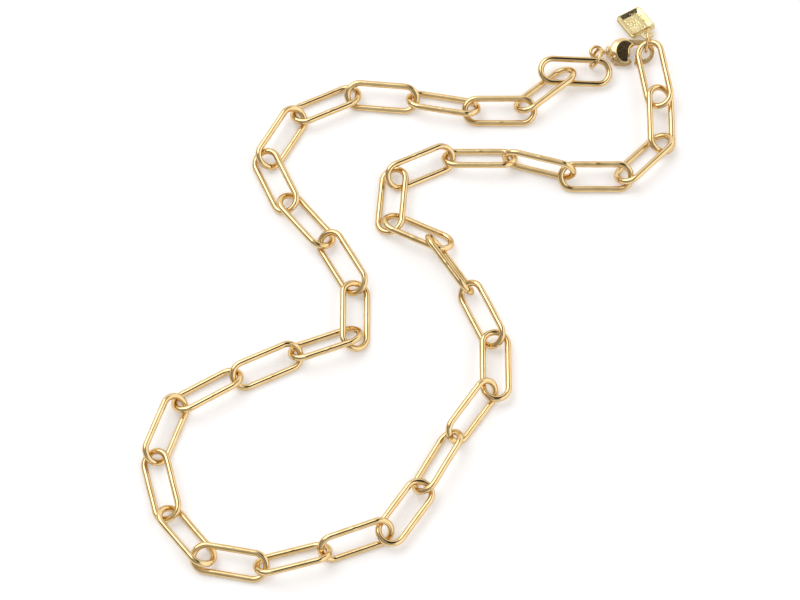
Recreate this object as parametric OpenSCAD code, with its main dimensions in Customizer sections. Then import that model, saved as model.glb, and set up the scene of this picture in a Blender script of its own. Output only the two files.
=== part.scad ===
// Paperclip chain necklace, fastened and laid down on a flat surface.
// Thirty-five equal long links, a lobster clasp with a lever, a jump ring
// at the clasp's eye, and a ring that holds the last link and a small tag.
// Millimetres. The origin is the bottom centre of the laid-out chain's box,
// +Z is up, and the fastened clasp lies at the +X +Y end of the loop.

/* [Chain] */
// Outer length of a link
link_l = 14.8; // [13.8:0.1:15.8]
// Outer width of a link
link_w = 6.0; // [5.7:0.1:6.8]
// Thickness of the link wire
wire_d = 1.2; // [1.0:0.05:1.25]
// Length by which two links are slack in each other
joint_play = 1.0; // [0.8:0.1:1.2]

/* [Clasp] */
// Length of the clasp from the eye's outer rim to the hook's outer rim
clasp_l = 12.9; // [12.4:0.1:13.6]
// Half the width of the clasp body
body_r = 2.75; // [2.6:0.05:2.9]
// Thickness of the clasp body in the middle
body_t = 2.7; // [2.6:0.1:3.0]
// Thickness of the clasp body at its rim
rim_t = 0.9; // [0.8:0.05:1.0]
// Outer radius of the hook
hook_r = 2.35; // [2.25:0.05:2.5]
// Width of the hook's arm
hook_w = 0.85; // [0.75:0.05:0.9]
// Thickness of the hook's arm
hook_t = 1.15; // [1.1:0.05:1.3]
// Radius of the eye to the middle of its wire
eye_r = 1.1; // [1.0:0.05:1.25]
// Thickness of the eye's wire
eye_wire = 0.65; // [0.5:0.05:0.7]
// Radius of the collar between eye and body
collar_r = 1.1; // [0.9:0.05:1.2]
// Thickness of the collar
collar_t = 0.7; // [0.5:0.05:0.8]
// Radius of the neck on each side of the collar
neck_r = 0.5; // [0.4:0.05:0.6]

/* [Lever] */
// Width of the lever's arm
lever_w = 1.0; // [0.9:0.05:1.1]
// Thickness of the lever
lever_t = 1.0; // [0.9:0.05:1.05]
// Gap between the lever and each wall of its slot
lever_gap = 0.1; // [0.08:0.01:0.12]
// Diameter of the lever's pin
pin_d = 0.6; // [0.5:0.05:0.7]
// Radial clearance of the pin in the lever
pin_gap = 0.05; // [0.03:0.01:0.08]
// Angle by which the lever swings into the hook
lever_open = 25; // [15:1:25]

/* [Rings] */
// Outer diameter of the jump ring at the clasp's eye
jump_d = 4.5; // [4.4:0.05:4.8]
// Outer diameter of the ring that holds the last link and the tag
tag_ring_d = 5.1; // [5.05:0.05:5.3]
// Thickness of the wire of both rings
ring_wire = 0.6; // [0.5:0.05:0.65]

/* [Tag] */
// Length of the tag from its lug side to its far side
tag_l = 6.4; // [5.8:0.1:7]
// Width of the tag
tag_w = 5.5; // [5:0.1:6]
// Thickness of the tag in the middle
tag_t = 1.0; // [0.8:0.1:1.2]
// Thickness of the tag at its edges
tag_edge_t = 0.6; // [0.5:0.05:0.7]
// Radius of the tag's corners
tag_corner = 0.8; // [0.5:0.05:1.1]
// Outer radius of the lug
lug_r = 1.15; // [1.1:0.05:1.2]
// Radius of the hole in the lug
lug_hole_r = 0.7; // [0.65:0.05:0.75]
// Thickness of the lug
lug_t = 0.5; // [0.4:0.05:0.6]

/* [Hidden] */
$fn = 64;
big_fn = 160;
gold = [0.88, 0.72, 0.36];
pale_gold = [0.93, 0.80, 0.48];

// Half the straight length of a link, and the radius of its round ends,
// both to the middle of the wire.
half_l = (link_l - link_w) / 2;
end_r = (link_w - wire_d) / 2;

// How the links lie, one row for each link, from the jump ring round the
// loop to the tag ring. Columns:
// x, y: middle of the link. turn: heading in plan. lean: roll about its own
// length, positive with the left bar up. lift: height above lying on the
// surface, in wire thicknesses. nose: rise of the leading end.
X = 0;
Y = 1;
TURN = 2;
LEAN = 3;
LIFT = 4;
NOSE = 5;
route = [
    [ 34.5,  48.5, 180, -15, 0.5, 5],
    [ 28.5,  44.5, 220,  35, 0, 0],
    [ 19.5,  40.0, 180, -25, 0, 0],
    [  8.5,  41.5, 170,  30, 0, 0],
    [ -3.5,  43.0, 175, -30, 0, 0],
    [-14.5,  41.5, 205,  20, 0, 0],
    [-23.0,  34.0, 240, -30, 0, 0],
    [-24.0,  24.5, 295,  25, 0, 0],
    [-18.0,  16.0, 310, -25, 0, 0],
    [-11.0,   7.0, 300,  30, 0, 0],
    [ -8.5,  -4.0, 270, -20, 0, 0],
    [-14.0, -10.0, 200,  35, 0, 0],
    [-25.0, -14.5, 205, -30, 0, 0],
    [-36.0, -19.5, 210,  30, 0, 0],
    [-43.5, -27.5, 250, -35, 0, 0],
    [-44.0, -38.5, 285,  25, 0, 0],
    [-39.0, -48.5, 310, -30, 0, 0],
    [-31.0, -53.5, 350,  25, 0, 0],
    [-19.5, -53.0,  15, -35, 0, 0],
    [ -8.0, -49.5,  20,  50, 0, 0],
    [  1.0, -44.0,  55,  10, 1, 0],
    [  7.0, -34.0,  60, -40, 0, 0],
    [ 13.5, -24.0,  55,  50, 0, 0],
    [ 18.0, -14.5,  90,   5, 1, 0],
    [ 15.5,  -4.0, 115, -40, 0, 0],
    [  9.5,   6.0, 125,  65, 0, 5],
    [  3.5,  13.5, 155,  30, 0, 0],
    [ -1.5,  20.5,  85, -20, 0, 0],
    [  4.0,  27.5,  25,  35, 0, 0],
    [ 15.5,  29.5,   0, -30, 0, 0],
    [ 27.0,  27.5, 345, -95, 0, 0],
    [ 38.0,  25.5,   0,  30, 0, 0],
    [ 47.5,  29.5,  45, -30, 0, 0],
    [ 51.0,  38.0,  90,  25, 0, 5],
    [ 50.0,  47.5, 100, -25, 0.9, 5],
];
count = len(route);
last = count - 1;

// Distance from link to link for which the route is chosen.
route_pitch = 11.4;
spread = (link_l - 2 * wire_d - joint_play) / route_pitch;

// Directions of a link: along it, and across it to its left bar.
function along(r) = [
    cos(r[TURN]) * cos(r[NOSE]),
    sin(r[TURN]) * cos(r[NOSE]),
    sin(r[NOSE])
];
function across(r) = [
    -sin(r[TURN]) * cos(r[LEAN]) - cos(r[TURN]) * sin(r[NOSE]) * sin(r[LEAN]),
    cos(r[TURN]) * cos(r[LEAN]) - sin(r[TURN]) * sin(r[NOSE]) * sin(r[LEAN]),
    cos(r[NOSE]) * sin(r[LEAN])
];

// How far a link reaches from its middle in a direction.
function reach(r, dir) = half_l * abs(along(r) * dir)
    + end_r * norm([along(r) * dir, across(r) * dir]) + wire_d / 2;

// The clasp. Its own frame starts at the eye's middle, X runs to the hook,
// Y to the side away from the lever, and it lies rolled towards the lever.
clasp_roll = 15;
eye_rim_at = [38.8, 52.3];
eye_at = [eye_rim_at[0], eye_rim_at[1] + eye_r];
eye_edge = eye_r + eye_wire / 2;
hook_x = clasp_l - eye_edge - hook_r;
neck_l = 0.6;
collar_x = eye_edge + neck_l;
collar_sink = 0.15;
belly_x = collar_x + collar_t - collar_sink + body_r;
bulge_r = (body_r * body_r + pow((body_t - rim_t) / 2, 2)) / (body_t - rim_t);
clasp_z = bulge_r - (bulge_r - body_t / 2) * cos(clasp_roll);
hook_at = [eye_at[0] + hook_x, eye_at[1]];

// The opening inside the hook, and the mouth that the lever closes.
hole_r = hook_r - hook_w;
throat = 1.0;
mouth_x = belly_x + 0.85;
mouth_end = hook_x - hook_r * cos(45);

// The lever is an arc about the belly's middle. It turns on its pin.
lever_out = body_r;
lever_in = lever_out - lever_w;
lever_from = -142;
lever_to = -52;
boss_r = 0.75;
pivot = [
    belly_x + (lever_out - lever_w * 0.55) * cos(lever_from),
    (lever_out - lever_w * 0.55) * sin(lever_from)
];
nub_r = 0.4;
nub_turn = -122;
slot_t = lever_t + 2 * lever_gap;

// The jump ring holds the eye's rim and a bar of the first link.
jump_r = (jump_d - ring_wire) / 2;
jump_tilt = 65;
jump_turn = 165;
jump_out = [-0.2, -0.6];
jump_at = [
    eye_rim_at[0] + jump_out[0],
    eye_rim_at[1] + jump_out[1],
    jump_r * sin(jump_tilt) + ring_wire / 2
];

// The tag ring stands upright round the hook's arm, the last link and the lug.
tag_ring_r = (tag_ring_d - ring_wire) / 2;
tag_ring_turn = -8;
tag_ring_lift = 0.45;
tag_ring_out = [0.9, 1.8];
tag_ring_at = [
    hook_at[0] + tag_ring_out[0],
    hook_at[1] + tag_ring_out[1],
    tag_ring_r + ring_wire / 2 + tag_ring_lift
];

// The tag rests on its far edge, and its lug is held up by the tag ring,
// whose wire passes through the lug's hole at the lug's height.
tag_turn = -60;
tag_tilt = 12;
lug_out = 0.85;
lug_side = -0.25;
tag_z = tag_l / 2 * sin(tag_tilt) + tag_edge_t / 2 * cos(tag_tilt);
tag_run = (tag_l / 2 + lug_out) * cos(tag_tilt);
lug_z = tag_z + (tag_l / 2 + lug_out) * sin(tag_tilt);
lug_run = sqrt(tag_ring_r * tag_ring_r - pow(tag_ring_at[2] - lug_z, 2));
lug_at = [
    tag_ring_at[0] - lug_run * sin(tag_ring_turn),
    tag_ring_at[1] + lug_run * cos(tag_ring_turn)
];
tag_at = [
    lug_at[0] - tag_run * cos(tag_turn) + lug_side * sin(tag_turn) * -1,
    lug_at[1] - tag_run * sin(tag_turn) + lug_side * cos(tag_turn),
    tag_z
];

// The first and last link are set by what holds them, and the links between
// spread evenly from their rows.
first_bar_out = [0.1, -0.8];
first_bar_at = eye_rim_at + first_bar_out - [0, wire_d / 2];
last_end_out = [1.25, -1.6];
last_end_at = hook_at + last_end_out;
first_at = [
    for (k = [X, Y])
        first_bar_at[k] + along(route[0])[k] * half_l + across(route[0])[k] * end_r
];
last_at = [for (k = [X, Y]) last_end_at[k] - along(route[last])[k] * half_l];
function chosen(i) = [route[i][X], route[i][Y]];
function between(i) = chosen(0) + (chosen(last) - chosen(0)) * i / last;
function ends(i) = first_at + (last_at - first_at) * i / last;
function middle(i) = ends(i) + (chosen(i) - between(i)) * spread;
function height(r) = reach(r, [0, 0, 1]) + r[LIFT] * wire_d;

// The box of the whole chain in plan, which puts the origin in its middle.
function side(i, dir) = middle(i) * [dir[0], dir[1]] + reach(route[i], dir);
x_high = max([for (i = [0:last]) side(i, [1, 0, 0])]);
x_low = -max([for (i = [0:last]) side(i, [-1, 0, 0])]);
y_low = -max([for (i = [0:last]) side(i, [0, -1, 0])]);
tag_far = [sin(tag_turn) * cos(tag_tilt), cos(tag_turn)];
y_high = tag_at[1] - (tag_l / 2 - tag_corner) * tag_far[0]
    + (tag_w / 2 - tag_corner) * tag_far[1] + tag_corner * norm(tag_far);
shift = [-(x_low + x_high) / 2, -(y_low + y_high) / 2, 0];

function link_name(i) = str("link_", i < 9 ? "0" : "", i + 1);

// A closed ring of round wire, lying flat about the origin.
module wire_ring(r, wire) {
    rotate_extrude() translate([r, 0]) circle(d = wire);
}

// One link, lying flat about the origin with its length along X.
module link() {
    color(gold)
    union() {
        for (side = [-1, 1]) {
            translate([0, side * end_r, 0]) rotate([0, 90, 0])
                cylinder(d = wire_d, h = 2 * half_l, center = true);
            translate([side * half_l, 0, 0]) rotate([0, 0, -90 * side])
                rotate_extrude(angle = 180) translate([end_r, 0])
                    circle(d = wire_d);
        }
    }
}

// Link number i where it lies.
module laid_link(i) {
    r = route[i];
    translate([middle(i)[0], middle(i)[1], height(r)] + shift)
        rotate([0, 0, r[TURN]]) rotate([0, -r[NOSE], 0]) rotate([r[LEAN], 0, 0])
            link();
}

// Puts the clasp's own frame where the clasp lies.
module clasp_place() {
    translate([eye_at[0], eye_at[1], clasp_z] + shift)
        rotate([clasp_roll, 0, 0]) children();
}

// The belly swells like a lens: thick in the middle, thin at its rim.
module belly() {
    translate([belly_x, 0, 0]) rotate_extrude($fn = big_fn) intersection() {
        translate([0, -body_t / 2]) square([body_r, body_t]);
        translate([0, body_t / 2 - bulge_r]) circle(r = bulge_r, $fn = big_fn);
        translate([0, bulge_r - body_t / 2]) circle(r = bulge_r, $fn = big_fn);
    }
}

// The flat hook, with the web that joins it to the belly inside its rim.
module hook() {
    web = 0.9 * body_r;
    linear_extrude(height = hook_t, center = true) {
        translate([hook_x, 0]) circle(r = hook_r);
        polygon([
            [belly_x, -web], [hook_x, -hook_r], [hook_x, hook_r], [belly_x, web]
        ]);
    }
}

// The opening inside the hook, through the whole casting.
module hook_hole() {
    linear_extrude(height = 2 * body_t, center = true) {
        for (x = [hook_x - throat, hook_x]) translate([x, 0]) circle(r = hole_r);
        translate([hook_x - throat, -hole_r]) square([throat, 2 * hole_r]);
    }
}

// The slot that the lever lies and swings in.
module lever_slot() {
    room = boss_r + lever_gap;
    linear_extrude(height = slot_t, center = true) {
        translate(pivot) circle(r = room);
        polygon([
            [pivot[0] - 0.8 * room, pivot[1]],
            [pivot[0], pivot[1] + 0.8 * room],
            [mouth_end - 0.1, 0.4 * body_r],
            [mouth_end - 0.1, -2 * body_r],
            [pivot[0] - 0.8 * room, -2 * body_r]
        ]);
    }
}

// Body, hook, neck, collar and eye of the clasp in one casting, and the
// lever's pin, which is riveted into it.
module clasp_body() {
    clasp_place() color(pale_gold) {
        difference() {
            union() {
                belly();
                hook();
            }
            hook_hole();
            lever_slot();
            translate([mouth_x, -2 * body_r, -body_t])
                cube([mouth_end - mouth_x, 2 * body_r - 0.45 * hole_r, 2 * body_t]);
        }
        wire_ring(eye_r, eye_wire);
        translate([eye_r, 0, 0]) rotate([0, 90, 0])
            cylinder(r = neck_r, h = belly_x - body_r + 0.5 - eye_r);
        translate([collar_x, 0, 0]) rotate([0, 90, 0])
            cylinder(r = collar_r, h = collar_t);
        translate([pivot[0], pivot[1], 0])
            cylinder(d = pin_d, h = body_t * 0.7, center = true);
    }
}

// The lever, closed, with its thumb nub on the outside.
module clasp_lever() {
    clasp_place() color(gold)
    difference() {
        union() {
            translate([belly_x, 0, 0]) rotate([0, 0, lever_from])
                rotate_extrude(angle = lever_to - lever_from)
                    translate([lever_in, -lever_t / 2]) square([lever_w, lever_t]);
            translate([pivot[0], pivot[1], 0])
                cylinder(r = boss_r, h = lever_t, center = true);
            translate([
                belly_x + lever_out * cos(nub_turn),
                lever_out * sin(nub_turn),
                0
            ]) cylinder(r = nub_r, h = lever_t, center = true);
        }
        translate([pivot[0], pivot[1], 0])
            cylinder(d = pin_d + 2 * pin_gap, h = 2 * lever_t, center = true);
    }
}

// The jump ring between the clasp's eye and the first link.
module jump_ring() {
    translate(jump_at + shift) rotate([0, jump_tilt, jump_turn])
        color(gold) wire_ring(jump_r, ring_wire);
}

// The ring that holds the last link and the tag, and that the hook grips.
module tag_ring() {
    translate(tag_ring_at + shift) rotate([0, 90, tag_ring_turn])
        color(gold) wire_ring(tag_ring_r, ring_wire);
}

// A bar along X whose section bulges from its edges to its middle.
module tag_bulge(length, width) {
    drop = (tag_t - tag_edge_t) / 2;
    r = (width * width / 4 + drop * drop) / (2 * drop);
    intersection_for (up = [-1, 1])
        translate([0, 0, up * (tag_t / 2 - r)]) rotate([0, 90, 0])
            cylinder(r = r, h = 2 * length, center = true, $fn = big_fn);
}

// The tag: a blank pillow-shaped square with rounded corners, and its lug.
module tag() {
    translate(tag_at + shift) rotate([0, 0, tag_turn]) rotate([0, -tag_tilt, 0])
        color(pale_gold) {
            intersection() {
                translate([0, 0, -tag_t]) linear_extrude(height = 2 * tag_t)
                    union() {
                        square([tag_l - 2 * tag_corner, tag_w], center = true);
                        square([tag_l, tag_w - 2 * tag_corner], center = true);
                        for (sx = [-1, 1], sy = [-1, 1])
                            translate([
                                sx * (tag_l / 2 - tag_corner),
                                sy * (tag_w / 2 - tag_corner)
                            ]) circle(r = tag_corner);
                    }
                tag_bulge(tag_l, tag_w);
                rotate([0, 0, 90]) tag_bulge(tag_w, tag_l);
            }
            difference() {
                union() {
                    translate([tag_l / 2 + lug_out, -lug_side, 0])
                        cylinder(r = lug_r, h = lug_t, center = true);
                    translate([tag_l / 2 - 0.4, -lug_side - lug_r, -lug_t / 2])
                        cube([lug_out + 0.4, 2 * lug_r, lug_t]);
                }
                translate([tag_l / 2 + lug_out, -lug_side, 0])
                    cylinder(r = lug_hole_r, h = 2 * lug_t, center = true);
            }
        }
}

for (i = [0:last]) {
    laid_link(i);
}
clasp_body();
clasp_lever();
jump_ring();
tag_ring();
tag();
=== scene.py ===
# %% [markdown]
# # A paperclip chain necklace in polished gold
#
# The necklace lies fastened on a white surface. Its metal was worked out as solid pieces first:
# thirty-five equal wire links, a lobster clasp with a lever, two rings and a small tag. This lesson
# dresses those pieces. Wire that repeats is made with Geometry Nodes, the castings are refined from their
# solids, and the gold is a node material that gets its look from small faults and from what it mirrors.

import math

import bmesh
import bpy
import numpy as np
from mathutils import Matrix, Vector, noise


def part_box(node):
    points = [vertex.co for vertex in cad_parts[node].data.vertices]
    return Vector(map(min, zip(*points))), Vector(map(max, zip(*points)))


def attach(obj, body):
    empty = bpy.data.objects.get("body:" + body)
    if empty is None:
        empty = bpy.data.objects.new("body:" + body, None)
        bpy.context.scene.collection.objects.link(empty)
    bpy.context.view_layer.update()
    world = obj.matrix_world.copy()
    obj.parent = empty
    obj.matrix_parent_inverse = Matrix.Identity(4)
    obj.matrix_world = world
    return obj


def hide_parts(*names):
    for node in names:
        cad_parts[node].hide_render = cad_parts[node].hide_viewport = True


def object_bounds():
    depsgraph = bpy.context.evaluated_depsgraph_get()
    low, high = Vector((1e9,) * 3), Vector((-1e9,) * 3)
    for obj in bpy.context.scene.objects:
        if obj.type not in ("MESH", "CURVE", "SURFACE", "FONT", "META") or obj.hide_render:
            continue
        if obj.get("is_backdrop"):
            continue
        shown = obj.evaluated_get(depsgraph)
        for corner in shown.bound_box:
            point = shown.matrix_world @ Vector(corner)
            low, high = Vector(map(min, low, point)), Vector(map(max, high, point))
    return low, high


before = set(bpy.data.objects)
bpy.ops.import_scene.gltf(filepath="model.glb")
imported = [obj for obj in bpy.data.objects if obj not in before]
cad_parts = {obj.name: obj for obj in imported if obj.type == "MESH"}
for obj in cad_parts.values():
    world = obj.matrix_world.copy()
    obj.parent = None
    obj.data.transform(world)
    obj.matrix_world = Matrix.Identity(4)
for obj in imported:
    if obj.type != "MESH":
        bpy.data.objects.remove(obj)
cad_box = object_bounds()
MM = 0.001
LINKS = sorted(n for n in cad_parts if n.startswith("link_"))
CHAIN_BODY = "chain"
LEVER_BODY = "lever"
print("nodes:", len(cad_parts), "links:", len(LINKS))
print("box in mm:", [[round(v / MM, 1) for v in corner] for corner in cad_box])

# %% [markdown]
# ## The camera
#
# The picture was taken from high in front, with a long lens, so the loop is hardly distorted. A camera is
# a place, a direction and a lens. Here it stands a set distance from one point of the surface, at a set
# height angle, and the lens is chosen so that one millimetre there is a little over five pixels.

# %% Camera
VIEW_HEIGHT = math.radians(65)
VIEW_DISTANCE = 560 * MM
LENS = 132.3
AIM = Vector((-2.87, -3.59, 0)) * MM


def make_camera():
    """The camera that sees the chain as the picture does."""
    data = bpy.data.cameras.new("camera")
    data.lens = LENS
    data.clip_start = 0.01
    data.clip_end = 20
    camera = bpy.data.objects.new("camera", data)
    bpy.context.scene.collection.objects.link(camera)
    back = Vector((0, -math.cos(VIEW_HEIGHT), math.sin(VIEW_HEIGHT)))
    camera.location = AIM + back * VIEW_DISTANCE
    camera.rotation_euler = (-back).to_track_quat("-Z", "Y").to_euler()
    bpy.context.scene.camera = camera
    return camera


make_camera()

# %% [markdown]
# ## Gold
#
# Polished gold has no paint on it. Its colour is the tint that it gives to whatever it mirrors, so a
# shader with full metalness and a pale yellow base is the start. Seen at a slant, as along the sides of a
# round wire, gold mirrors a deeper and browner tint, which draws a fine outline round every bar.
#
# A perfect mirror looks like computer chrome. Real plated wire is drawn and tumbled, so it has long
# shallow waves, fine scuffs and a slightly uneven gloss. Noise on the piece's own coordinates makes all
# three, at the scale of the metal and not of the picture.


# %% Node helpers
def add(tree, kind, **settings):
    """A new node of one kind, with its properties set."""
    node = tree.nodes.new(kind)
    for name, value in settings.items():
        setattr(node, name, value)
    return node


def noise_at(tree, coordinates, scale, detail=3.0):
    """A noise texture on the given coordinates. The scale counts features in a metre."""
    node = add(tree, "ShaderNodeTexNoise")
    node.inputs["Scale"].default_value = scale
    node.inputs["Detail"].default_value = detail
    tree.links.new(coordinates, node.inputs["Vector"])
    return node


def spread(tree, value, low, high):
    """Maps a value of 0.3 to 0.7, as noise gives, to low to high."""
    node = add(tree, "ShaderNodeMapRange")
    node.inputs["From Min"].default_value = 0.3
    node.inputs["From Max"].default_value = 0.7
    node.inputs["To Min"].default_value = low
    node.inputs["To Max"].default_value = high
    tree.links.new(value, node.inputs["Value"])
    return node.outputs["Result"]


def tint(tree, factor, first, second):
    """Mixes two colours by a factor."""
    node = add(tree, "ShaderNodeMix", data_type="RGBA")
    node.inputs["A"].default_value = (*first, 1)
    node.inputs["B"].default_value = (*second, 1)
    tree.links.new(factor, node.inputs["Factor"])
    return node.outputs["Result"]


# %% Polished gold
WAVE_SCALE = 420
SCUFF_SCALE = 5200
GOLD = (0.83, 0.64, 0.355)
WARM_GOLD = (0.74, 0.53, 0.255)
EDGE_GOLD = (0.62, 0.46, 0.28)
TAG_GOLD = (0.78, 0.66, 0.37)
TAG_OLIVE = (0.62, 0.51, 0.25)


def polished_gold(name, gloss=(0.03, 0.075), wave=0.02, scuff=0.004, colours=(GOLD, WARM_GOLD)):
    """Plated gold. wave and scuff are bump depths in millimetres."""
    material = bpy.data.materials.new(name)
    material.use_nodes = True
    tree = material.node_tree
    shader = tree.nodes["Principled BSDF"]
    shader.inputs["Metallic"].default_value = 1.0
    shader.inputs["Specular Tint"].default_value = (*EDGE_GOLD, 1)
    here = add(tree, "ShaderNodeTexCoord").outputs["Object"]
    waves = noise_at(tree, here, WAVE_SCALE, detail=2.0)
    scuffs = noise_at(tree, here, SCUFF_SCALE, detail=4.0)
    colour = tint(tree, spread(tree, waves.outputs["Fac"], 0, 1), *colours)
    tree.links.new(colour, shader.inputs["Base Color"])
    tree.links.new(spread(tree, scuffs.outputs["Fac"], *gloss), shader.inputs["Roughness"])
    rise = None
    for texture, depth in ((waves, wave), (scuffs, scuff)):
        bump = add(tree, "ShaderNodeBump")
        bump.inputs["Strength"].default_value = 1.0
        bump.inputs["Distance"].default_value = depth * MM
        tree.links.new(texture.outputs["Fac"], bump.inputs["Height"])
        if rise:
            tree.links.new(rise, bump.inputs["Normal"])
        rise = bump.outputs["Normal"]
    tree.links.new(rise, shader.inputs["Normal"])
    return material


link_gold = polished_gold("link_gold")
ring_gold = polished_gold("ring_gold", gloss=(0.04, 0.09))
clasp_gold = polished_gold("clasp_gold", gloss=(0.13, 0.18), wave=0.02, scuff=0.002)
lever_gold = polished_gold("lever_gold", gloss=(0.06, 0.12))
tag_gold = polished_gold("tag_gold", gloss=(0.10, 0.24), scuff=0.006, colours=(TAG_GOLD, TAG_OLIVE))

# %% [markdown]
# ## Where each wire loop lies
#
# A link's solid knows where it is, but only as a skin of triangles. Weighing every triangle by its area
# gives the loop's middle and its three natural directions: a link is longest along its bars, narrower
# across them and thinnest through its wire. The spread along each direction then gives the sizes, so
# nothing is copied by hand. The same trick finds the two round rings.


# %% Measure a loop
def triangles_of(node):
    """Corner places of every triangle of a solid, in metres."""
    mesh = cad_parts[node].data
    mesh.calc_loop_triangles()
    corners = np.zeros(len(mesh.vertices) * 3)
    mesh.vertices.foreach_get("co", corners)
    index = np.zeros(len(mesh.loop_triangles) * 3, int)
    mesh.loop_triangles.foreach_get("vertices", index)
    return corners.reshape(-1, 3)[index].reshape(-1, 3, 3)


def measure_loop(node, towards):
    """Middle, axes and sizes of a wire loop. Its long axis points towards the given direction."""
    corners = triangles_of(node)
    sides = np.cross(corners[:, 1] - corners[:, 0], corners[:, 2] - corners[:, 0])
    area = np.linalg.norm(sides, axis=1)
    centres = corners.mean(axis=1)
    middle = (centres * area[:, None]).sum(axis=0) / area.sum()
    offsets = centres - middle
    _, axes = np.linalg.eigh((offsets * area[:, None]).T @ offsets)
    along, across, through = axes[:, 2], axes[:, 1], axes[:, 0]
    if along @ np.array(towards) < 0:
        along = -along
    if through[2] < 0:
        through = -through
    across = np.cross(through, along)
    turn = np.column_stack((along, across, through))
    reach = (corners.reshape(-1, 3) - middle) @ turn
    size = reach.max(axis=0) - reach.min(axis=0)
    return {"middle": middle, "turn": turn, "size": size}


def middle_of(node):
    """Middle of a solid's box."""
    low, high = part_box(node)
    return (low + high) / 2


def measure_chain():
    """Every link, each pointing to the next."""
    places = [middle_of(n) for n in LINKS]
    loops = []
    for i, node in enumerate(LINKS):
        before = places[max(i - 1, 0)]
        after = places[min(i + 1, len(places) - 1)]
        loops.append(measure_loop(node, after - before))
    return loops


chain = measure_chain()
rings = {n: measure_loop(n, (1, 0, 0)) for n in ("jump_ring", "tag_ring")}
print("a link in mm:", np.round(chain[0]["size"] / MM, 2))
print("the rings in mm:", [np.round(r["size"] / MM, 2) for r in rings.values()])

# %% [markdown]
# ## Wire loops with Geometry Nodes
#
# Each link starts as straight wire, is bent round a former and soldered shut. All of them could be
# modelled one by one, or one could be copied, but then every link would mirror the studio in the same
# way. So one tree makes them all: a rounded rectangle is set on each measured point and made real, and
# only then nudged sideways by noise that reads its place. No two links bend alike, yet all have the same
# size.
#
# A circle swept along each loop gives the wire, and its radius swells a little over the solder joint. The
# same tree, with other sizes, makes the two rings, whose joint is a fine nick and not a swelling.


# %% The tree
BEND_SCALE = 210
CORNER_STEPS = 40
CORNER_SHARE = 0.4999  # just under half, so that two corners never meet in one point


def named_inputs(tree, sizes):
    """Gives a tree a named number input for each size, and returns the group's output sockets by name."""
    for name, kind, value in sizes:
        socket = tree.interface.new_socket(name, in_out="INPUT", socket_type=kind)
        socket.default_value = value
    return add(tree, "NodeGroupInput").outputs


def maths(tree, operation, *values):
    """A maths node. Each value is a number or a socket."""
    node = add(tree, "ShaderNodeMath", operation=operation)
    for slot, value in zip(node.inputs, values):
        if isinstance(value, (int, float)):
            slot.default_value = value
        else:
            tree.links.new(value, slot)
    return node.outputs[0]


def soft_step(tree, value, edge):
    """1 where the value is 0, falling smoothly to 0 at the edge."""
    node = add(tree, "ShaderNodeMapRange", interpolation_type="SMOOTHSTEP")
    tree.links.new(value, node.inputs["Value"])
    tree.links.new(edge, node.inputs["From Max"])
    node.inputs["To Min"].default_value = 1
    node.inputs["To Max"].default_value = 0
    return node.outputs["Result"]


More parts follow.
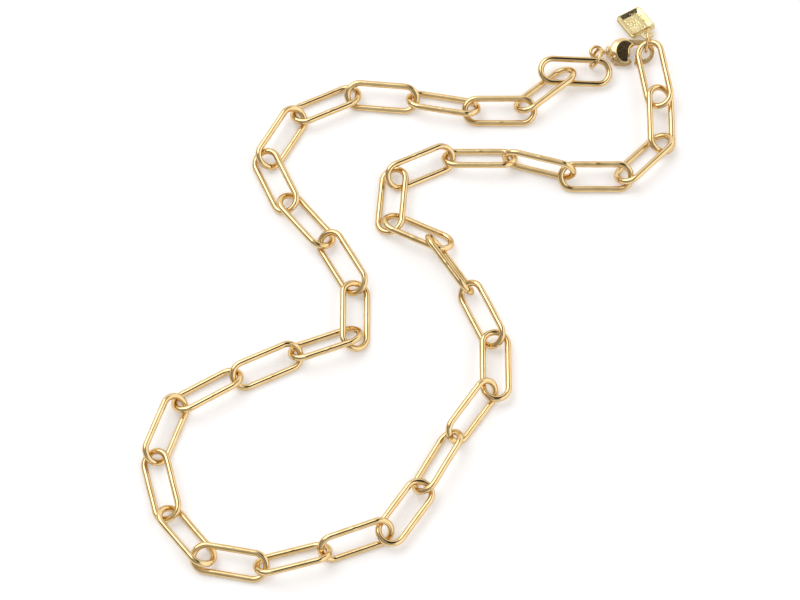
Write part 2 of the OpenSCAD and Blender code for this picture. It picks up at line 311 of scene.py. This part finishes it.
def wire_tree():
    """Geometry Nodes tree: points with a turn become wire loops."""
    tree = bpy.data.node_groups.new("wire_loops", "GeometryNodeTree")
    tree.is_modifier = True
    tree.interface.new_socket("Points", in_out="INPUT", socket_type="NodeSocketGeometry")
    sizes = named_inputs(tree, (
        ("Length", "NodeSocketFloat", 0.0),
        ("Width", "NodeSocketFloat", 0.0),
        ("Wire", "NodeSocketFloat", 0.0),
        ("Rings", "NodeSocketInt", 104),
        ("Sides", "NodeSocketInt", 22),
        ("Bend Size", "NodeSocketFloat", 0.0),
        ("Joint Rise", "NodeSocketFloat", 0.0),
        ("Joint Reach", "NodeSocketFloat", 0.0),
        ("Seed", "NodeSocketFloat", 0.0),
        ("Gold", "NodeSocketMaterial", None),
    ))
    tree.interface.new_socket("Wire loops", in_out="OUTPUT", socket_type="NodeSocketGeometry")

    def join(output, node, name):
        tree.links.new(output, node.inputs[name])

    # The middle line of one loop, flat about the origin.
    long_side = maths(tree, "SUBTRACT", sizes["Length"], sizes["Wire"])
    short_side = maths(tree, "SUBTRACT", sizes["Width"], sizes["Wire"])
    flat = add(tree, "GeometryNodeCurvePrimitiveQuadrilateral", mode="RECTANGLE")
    join(long_side, flat, "Width")
    join(short_side, flat, "Height")
    rounded = add(tree, "GeometryNodeFilletCurve")
    rounded.mode = "POLY"
    join(flat.outputs["Curve"], rounded, "Curve")
    join(maths(tree, "MULTIPLY", short_side, CORNER_SHARE), rounded, "Radius")
    rounded.inputs["Count"].default_value = CORNER_STEPS
    even = add(tree, "GeometryNodeResampleCurve")
    even.mode = "COUNT"
    join(rounded.outputs["Curve"], even, "Curve")
    join(sizes["Rings"], even, "Count")

    # A mask over the joint, in the middle of one long side.
    place = add(tree, "GeometryNodeInputPosition").outputs[0]
    split = add(tree, "ShaderNodeSeparateXYZ")
    join(place, split, "Vector")
    near = soft_step(tree, maths(tree, "ABSOLUTE", split.outputs["X"]), sizes["Joint Reach"])
    on_side = maths(tree, "GREATER_THAN", split.outputs["Y"], 0.0)
    keep = add(tree, "GeometryNodeStoreNamedAttribute", data_type="FLOAT", domain="POINT")
    keep.inputs["Name"].default_value = "joint"
    join(even.outputs["Curve"], keep, "Geometry")
    join(maths(tree, "MULTIPLY", near, on_side), keep, "Value")

    # One loop on each point, made real before it is bent.
    turn = add(tree, "GeometryNodeInputNamedAttribute", data_type="FLOAT_VECTOR")
    turn.inputs["Name"].default_value = "turn"
    rotation = add(tree, "FunctionNodeEulerToRotation")
    join(turn.outputs["Attribute"], rotation, "Euler")
    points = add(tree, "GeometryNodeMeshToPoints")
    join(tree.nodes["Group Input"].outputs["Points"], points, "Mesh")
    laid = add(tree, "GeometryNodeInstanceOnPoints")
    join(points.outputs["Points"], laid, "Points")
    join(keep.outputs["Geometry"], laid, "Instance")
    join(rotation.outputs["Rotation"], laid, "Rotation")
    real = add(tree, "GeometryNodeRealizeInstances")
    join(laid.outputs["Instances"], real, "Geometry")

    # Noise that reads the place on the necklace bends each loop a little, but doesn't lift it.
    shake = add(tree, "ShaderNodeTexNoise", noise_dimensions="4D")
    shake.inputs["Scale"].default_value = BEND_SCALE
    shake.inputs["Detail"].default_value = 1
    join(place, shake, "Vector")
    join(sizes["Seed"], shake, "W")
    centred = add(tree, "ShaderNodeVectorMath", operation="SUBTRACT")
    centred.inputs[1].default_value = (0.5, 0.5, 0.5)
    join(shake.outputs["Color"], centred, 0)
    level = add(tree, "ShaderNodeVectorMath", operation="MULTIPLY")
    level.inputs[1].default_value = (1, 1, 0)
    tree.links.new(centred.outputs[0], level.inputs[0])
    nudge = add(tree, "ShaderNodeVectorMath", operation="SCALE")
    tree.links.new(level.outputs[0], nudge.inputs[0])
    join(sizes["Bend Size"], nudge, "Scale")
    bent = add(tree, "GeometryNodeSetPosition")
    join(real.outputs["Geometry"], bent, "Geometry")
    join(nudge.outputs[0], bent, "Offset")

    # The wire: a circle swept along the loop, with its joint.
    mask = add(tree, "GeometryNodeInputNamedAttribute", data_type="FLOAT")
    mask.inputs["Name"].default_value = "joint"
    grow = maths(tree, "MULTIPLY_ADD", mask.outputs["Attribute"], sizes["Joint Rise"], 1.0)
    radius = add(tree, "GeometryNodeSetCurveRadius")
    join(bent.outputs["Geometry"], radius, "Curve")
    join(grow, radius, "Radius")
    circle = add(tree, "GeometryNodeCurvePrimitiveCircle", mode="RADIUS")
    join(sizes["Sides"], circle, "Resolution")
    join(maths(tree, "MULTIPLY", sizes["Wire"], 0.5), circle, "Radius")
    wire = add(tree, "GeometryNodeCurveToMesh")
    join(radius.outputs["Curve"], wire, "Curve")
    join(circle.outputs["Curve"], wire, "Profile Curve")
    if "Scale" in wire.inputs:
        join(grow, wire, "Scale")
    smooth = add(tree, "GeometryNodeSetShadeSmooth")
    join(wire.outputs["Mesh"], smooth, "Geometry")
    final = add(tree, "GeometryNodeRealizeInstances")
    join(smooth.outputs["Geometry"], final, "Geometry")
    finish = add(tree, "GeometryNodeSetMaterial")
    join(final.outputs["Geometry"], finish, "Geometry")
    join(sizes["Gold"], finish, "Material")
    join(finish.outputs["Geometry"], add(tree, "NodeGroupOutput"), "Wire loops")
    return tree


wire_loops = wire_tree()
print("tree nodes:", len(wire_loops.nodes))


# %% From tree to plain mesh
def loop_points(name, loops):
    """A mesh of one vertex a loop, which carries the loop's turn."""
    mesh = bpy.data.meshes.new(name)
    mesh.from_pydata([tuple(loop["middle"]) for loop in loops], [], [])
    turns = mesh.attributes.new("turn", "FLOAT_VECTOR", "POINT")
    for i, loop in enumerate(loops):
        turns.data[i].vector = Matrix(loop["turn"].tolist()).to_euler()
    piece = bpy.data.objects.new(name, mesh)
    bpy.context.scene.collection.objects.link(piece)
    return piece


def plain(piece):
    """Applies what the modifiers make, and takes them off."""
    evaluated = piece.evaluated_get(bpy.context.evaluated_depsgraph_get())
    mesh = bpy.data.meshes.new_from_object(evaluated)
    piece.modifiers.clear()
    piece.data = mesh
    mesh.name = piece.name
    return piece


def keep_inside(piece, box):
    """Brings back the few points that a bend has pushed past the measured box."""
    for vertex in piece.data.vertices:
        vertex.co = np.clip(vertex.co, *box)


def set_inputs(modifier, values):
    """Sets a modifier's inputs through the sockets' identifiers."""
    for socket in modifier.node_group.interface.items_tree:
        if socket.name in values and socket.in_out == "INPUT":
            modifier[socket.identifier] = values[socket.name]


def wire_piece(name, loops, **values):
    """Wire loops in one plain mesh."""
    piece = loop_points(name, loops)
    modifier = piece.modifiers.new("wire", "NODES")
    modifier.node_group = wire_loops
    size = np.median([loop["size"] for loop in loops], axis=0)
    sizes = {"Length": float(size[0]), "Width": float(size[1]), "Wire": float(size[2])}
    set_inputs(modifier, {**sizes, **values})
    plain(piece)
    keep_inside(piece, cad_box)
    triangles = sum(len(p.vertices) - 2 for p in piece.data.polygons)
    print(name, "triangles:", triangles)
    return piece


links = wire_piece("links", chain, **{
    "Bend Size": 0.10 * MM,
    "Joint Rise": 0.035,
    "Joint Reach": 0.7 * MM,
    "Seed": 4.0,
    "Gold": link_gold,
})
ring_pieces = {
    name: wire_piece(name + "_wire", [loop], **{
        "Rings": 160,
        "Sides": 24,
        "Bend Size": 0.04 * MM,
        "Joint Rise": -0.12,
        "Joint Reach": 0.07 * MM,
        "Seed": 9.0,
        "Gold": ring_gold,
    })
    for name, loop in rings.items()
}

# %% [markdown]
# ## The castings
#
# A lobster clasp and its lever are cast and tumbled, so no edge on them is sharp. Bevelling every edge of
# a shape full of curved cuts is fiddly. Remeshing is kinder: a copy of the solid is turned into small
# even squares, and smoothing those rounds every edge by about the same amount, as tumbling does.
# Remeshing works on a copy blown up a thousand times, because Blender's smallest grain is a tenth of a
# unit there.


# %% Tumble a casting
BLOW_UP = 1000
WELD = 0.0005


def merged_copy(name, node):
    """A copy of a solid as one connected skin."""
    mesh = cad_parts[node].data.copy()
    mesh.materials.clear()
    mesh.transform(Matrix.Scale(BLOW_UP, 4))
    skin = bmesh.new()
    skin.from_mesh(mesh)
    bmesh.ops.remove_doubles(skin, verts=skin.verts, dist=WELD)
    bmesh.ops.recalc_face_normals(skin, faces=skin.faces)
    skin.to_mesh(mesh)
    skin.free()
    piece = bpy.data.objects.new(name, mesh)
    bpy.context.scene.collection.objects.link(piece)
    return piece


def tumbled(name, node, grain, rounds, gold):
    """A casting with rounded edges: grain in millimetres, and how often it is smoothed."""
    piece = merged_copy(name, node)
    remesh = piece.modifiers.new("grain", "REMESH")
    remesh.mode = "VOXEL"
    remesh.voxel_size = grain
    smooth = piece.modifiers.new("tumble", "SMOOTH")
    smooth.factor = 0.5
    smooth.iterations = rounds
    plain(piece)
    piece.data.transform(Matrix.Scale(1 / BLOW_UP, 4))
    piece.data.polygons.foreach_set("use_smooth", [True] * len(piece.data.polygons))
    piece.data.materials.append(gold)
    print(name, "faces:", len(piece.data.polygons))
    return piece


clasp = tumbled("clasp_casting", "clasp_body", grain=0.06, rounds=8, gold=clasp_gold)
lever = tumbled("lever_casting", "clasp_lever", grain=0.04, rounds=6, gold=lever_gold)

# %% [markdown]
# ## The clasp's cheek
#
# In the picture half of the clasp's belly is one dark patch with a bright rim at the throat. A bulging
# belly would show only a dark streak. The patch means that this half is nearly flat, so all of it mirrors
# the same dark part of the room, and the bright rim is where it rounds over into the throat.
#
# So a cheek is pressed into the tumbled belly. Every point of its upper side that stands higher than a
# nearly flat surface is brought down to it, and a smooth minimum of the two heights keeps the border
# soft. The surface slopes a little to the hook, falls gently to both sides, and bends down at the throat.


# %% Press the clasp's cheek
CLASP_ROLL = math.radians(15)
CROWN = 0.02 * MM
CHEEK_HEIGHT = 0.97 * MM
CHEEK_SLOPE = 0.10
CHEEK_ROUND = 18 * MM
CHEEK_REACH = 3.0 * MM
CHEEK_LOW = 0.62 * MM
CHEEK_EDGE = 0.025 * MM
THROAT_AT = 2.8 * MM
THROAT_RADIUS = 1.5 * MM
THROAT_RIM = 0.42 * MM


def cheek_height(right, up):
    """Height of the cheek above the clasp's middle plane, at a place measured from the belly's middle."""
    height = CHEEK_HEIGHT - CHEEK_SLOPE * right - up * up / (2 * CHEEK_ROUND)
    into_rim = THROAT_RIM + THROAT_RADIUS - math.hypot(right - THROAT_AT, up)
    return height - min(max(into_rim, 0), THROAT_RIM) ** 2 / (2 * THROAT_RIM)


def press_cheek(piece):
    """Presses the cheek into the upper side of the clasp's belly."""
    axes = np.array(Matrix.Rotation(CLASP_ROLL, 3, "X"))
    solid = triangles_of("clasp_body").reshape(-1, 3) @ axes
    low, high = solid[:, 2].min(), solid[:, 2].max()
    belly = solid[solid[:, 2] > high - CROWN].mean(axis=0)
    belly[2] = (low + high) / 2
    upwards = Vector(axes[:, 2].tolist())
    deepest = 0
    for vertex in piece.data.vertices:
        right, up, rise = np.array(vertex.co) @ axes - belly
        if rise > CHEEK_LOW and right < CHEEK_REACH:
            spare = cheek_height(right, up) - rise
            pressed = CHEEK_EDGE * math.log1p(math.exp(spare / CHEEK_EDGE)) - spare
            vertex.co -= upwards * pressed
            deepest = max(deepest, pressed)
    print(piece.name, "pressed by up to", round(deepest / MM, 2), "mm")


press_cheek(clasp)

# %% [markdown]
# ## The tag
#
# The tag is a small flat plate. A narrow soft rim runs round a shallow dish, and the floor of the dish is
# struck with fine dimples that break up the reflections. All of that is real shape here and not only a
# bump, because the sides of the dish and its dimples change the outline that light draws on metal. The
# side of the dish that leans towards the dark part of the room gives the dark band of the picture.
#
# Each point of the skin is moved along the tag's own normal, by an amount that follows its distance from
# the border. The border is a rounded rectangle, so the dish has round corners too.

# %% Strike the tag
TAG_TURN = math.radians(-60)
TAG_TILT = math.radians(12)
TAG_LENGTH = 6.4 * MM
DISH_CORNER = 1.1 * MM
RIM = 0.20 * MM
RIM_DROP = 0.10 * MM
DISH_RUN = 0.90 * MM
DISH_DEPTH = 0.54 * MM
DIMPLE_SIZE = 0.52 * MM
DIMPLE_DEPTH = 0.11 * MM
DIMPLE_SHARPNESS = 1.6


def measure_plate():
    """Middle, axes and half sizes of the tag's plate, without its lug."""
    turn = Matrix.Rotation(TAG_TURN, 3, "Z") @ Matrix.Rotation(-TAG_TILT, 3, "Y")
    turn = np.array(turn)
    reach = triangles_of("tag").reshape(-1, 3) @ turn
    low, high = reach.min(axis=0), reach.max(axis=0)
    middle = (low + high) / 2
    middle[0] = low[0] + TAG_LENGTH / 2
    half = (TAG_LENGTH / 2, (high[1] - low[1]) / 2)
    return {"middle": turn @ middle, "turn": turn, "half": half}


def depth_inside(x, y, half, corner):
    """Distance from a point to the nearest side of a rounded rectangle, positive inside it."""
    over = (abs(x) - half[0] + corner, abs(y) - half[1] + corner)
    outside = math.hypot(max(over[0], 0), max(over[1], 0))
    return corner - outside - min(max(over), 0)


def strike(piece, plate):
    """Rounds the tag's border and strikes a dimpled dish into its upper face."""
    normal = Vector(plate["turn"][:, 2].tolist())
    for vertex in piece.data.vertices:
        x, y, z = plate["turn"].T @ (np.array(vertex.co) - plate["middle"])
        inward = depth_inside(x, y, plate["half"], DISH_CORNER)
        if inward < 0:
            continue
        outer = 1 - min(inward / RIM, 1)
        inner = min(max((inward - RIM) / DISH_RUN, 0), 1) if z > 0 else 0
        nearest = noise.voronoi(Vector((x, y, 0)) / DIMPLE_SIZE)[0][0]
        dimple = max(0.0, 1 - DIMPLE_SHARPNESS * nearest) ** 2
        sink = RIM_DROP * outer ** 2 + DISH_DEPTH * inner + DIMPLE_DEPTH * dimple * inner ** 4
        vertex.co -= normal * math.copysign(sink, z)
    print(piece.name, "plate in mm:", [round(2 * h / MM, 2) for h in plate["half"]])


tag = tumbled("tag_plate", "tag", grain=0.04, rounds=8, gold=tag_gold)
strike(tag, measure_plate())

# %% [markdown]
# ## Studio
#
# Polished metal shows its surroundings more than itself. In the picture each bar has a white line, a thin
# dark line beside it and a warm golden edge. The white line is a large soft light at the upper left and
# the pale wall behind it. The dark line is a narrow unlit strip of ceiling, a little to the right of
# straight above, that runs from behind the chain to over the camera. The golden edge is the white surface
# itself.
#
# So the studio is a white floor that glows a little, one big soft light, and a room that is painted as
# round zones of light and dark, each over the ones before it. A picture of a studio would do the same,
# but a few zones are easier to understand and to tune.

# %% Floor
FLOOR_SIZE = 6.0
FLOOR_WHITE = (0.945, 0.945, 0.965)
FLOOR_GLOW = 0.20
FLOOR_ROUGHNESS = 0.9
FLOOR_SHEEN = 0.1


def make_floor():
    """The pale surface that the chain lies on."""
    mesh = bpy.data.meshes.new("floor")
    skin = bmesh.new()
    bmesh.ops.create_grid(skin, x_segments=1, y_segments=1, size=FLOOR_SIZE / 2)
    skin.to_mesh(mesh)
    skin.free()
    material = bpy.data.materials.new("floor_white")
    material.use_nodes = True
    shader = material.node_tree.nodes["Principled BSDF"]
    shader.inputs["Base Color"].default_value = (*FLOOR_WHITE, 1)
    shader.inputs["Roughness"].default_value = FLOOR_ROUGHNESS
    shader.inputs["Specular IOR Level"].default_value = FLOOR_SHEEN
    shader.inputs["Emission Color"].default_value = (*FLOOR_WHITE, 1)
    shader.inputs["Emission Strength"].default_value = FLOOR_GLOW
    mesh.materials.append(material)
    floor = bpy.data.objects.new("floor", mesh)
    bpy.context.scene.collection.objects.link(floor)
    floor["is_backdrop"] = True


make_floor()


# %% Lights
def soft_light(name, towards, distance, size, power):
    """A square soft light that stands in a direction from the chain and faces it."""
    data = bpy.data.lights.new(name, "AREA")
    data.shape = "SQUARE"
    data.size = size
    data.energy = power
    light = bpy.data.objects.new(name, data)
    bpy.context.scene.collection.objects.link(light)
    out = Vector(towards).normalized()
    light.location = out * distance
    light.rotation_euler = (-out).to_track_quat("-Z", "Y").to_euler()


KEY_TOWARDS = (-0.46, 0.38, 0.84)
KEY_DISTANCE = 1.3
KEY_SIZE = 1.0
KEY_POWER = 5.2
soft_light("key", KEY_TOWARDS, KEY_DISTANCE, KEY_SIZE, KEY_POWER)

# %% Room
# Each zone has a name, a direction, the angles in degrees at which it starts and is full, and its light.
ROOM_GREY = (0.56, 0.55, 0.53)
ROOM_ZONES = (
    ("back wall", (0.0, 1.0, 0.30), 68, 40, (1.05, 1.04, 1.02)),
    ("right wall", (1.0, -0.05, 0.35), 62, 46, (1.32, 1.30, 1.27)),
    ("left wall", (-1.0, -0.40, 0.30), 62, 40, (0.34, 0.33, 0.31)),
    ("round the key", (-0.40, 0.38, 0.80), 36, 20, (1.10, 1.09, 1.07)),
    ("gap behind", (0.35, 0.48, 0.80), 22, 9, (0.24, 0.21, 0.16)),
    ("gap above", (0.26, 0.16, 0.95), 12, 8.5, (0.035, 0.028, 0.02)),
    ("gap overhead", (0.25, -0.12, 0.96), 11, 8.5, (0.015, 0.012, 0.01)),
    ("gap over the camera", (0.25, -0.38, 0.89), 13, 10, (0.012, 0.01, 0.007)),
)


def make_room():
    """The room as soft round zones of light and dark, each painted over the ones before it."""
    world = bpy.data.worlds.new("studio")
    world.use_nodes = True
    tree = world.node_tree
    direction = add(tree, "ShaderNodeTexCoord").outputs["Generated"]
    room = add(tree, "ShaderNodeRGB").outputs[0]
    room.default_value = (*ROOM_GREY, 1)
    for name, towards, edge, core, light in ROOM_ZONES:
        facing = add(tree, "ShaderNodeVectorMath", operation="DOT_PRODUCT", label=name)
        facing.inputs[1].default_value = Vector(towards).normalized()
        tree.links.new(direction, facing.inputs[0])
        inside = add(tree, "ShaderNodeMapRange", interpolation_type="SMOOTHSTEP")
        inside.inputs["From Min"].default_value = math.cos(math.radians(edge))
        inside.inputs["From Max"].default_value = math.cos(math.radians(core))
        tree.links.new(facing.outputs["Value"], inside.inputs["Value"])
        painted = add(tree, "ShaderNodeMix", data_type="RGBA")
        tree.links.new(inside.outputs["Result"], painted.inputs["Factor"])
        tree.links.new(room, painted.inputs["A"])
        painted.inputs["B"].default_value = (*light, 1)
        room = painted.outputs["Result"]
    tree.links.new(room, tree.nodes["Background"].inputs["Color"])
    bpy.context.scene.world = world


make_room()
bpy.context.scene.view_settings.view_transform = "Standard"
print("room zones:", len(ROOM_ZONES))

# %% [markdown]
# ## Handing over
#
# Each dressed piece now takes the place of its solids and rides on the body that carries it. The two
# boxes written at the end show that dressing made the necklace no bigger.

# %% Hand over
HANDED = (
    (links, CHAIN_BODY, "link_gold", LINKS),
    (ring_pieces["jump_ring"], CHAIN_BODY, "ring_gold", ["jump_ring"]),
    (ring_pieces["tag_ring"], CHAIN_BODY, "ring_gold", ["tag_ring"]),
    (clasp, CHAIN_BODY, "clasp_gold", ["clasp_body"]),
    (lever, LEVER_BODY, "lever_gold", ["clasp_lever"]),
    (tag, CHAIN_BODY, "tag_gold", ["tag"]),
)
for piece, body, finish, nodes in HANDED:
    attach(piece, body)
    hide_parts(*nodes)

boxes = {
    "cad": [list(corner) for corner in cad_box],
    "visual": [list(corner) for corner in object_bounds()],
}
for name, box in boxes.items():
    print(name, "box in mm:", [[round(v / MM, 2) for v in corner] for corner in box])
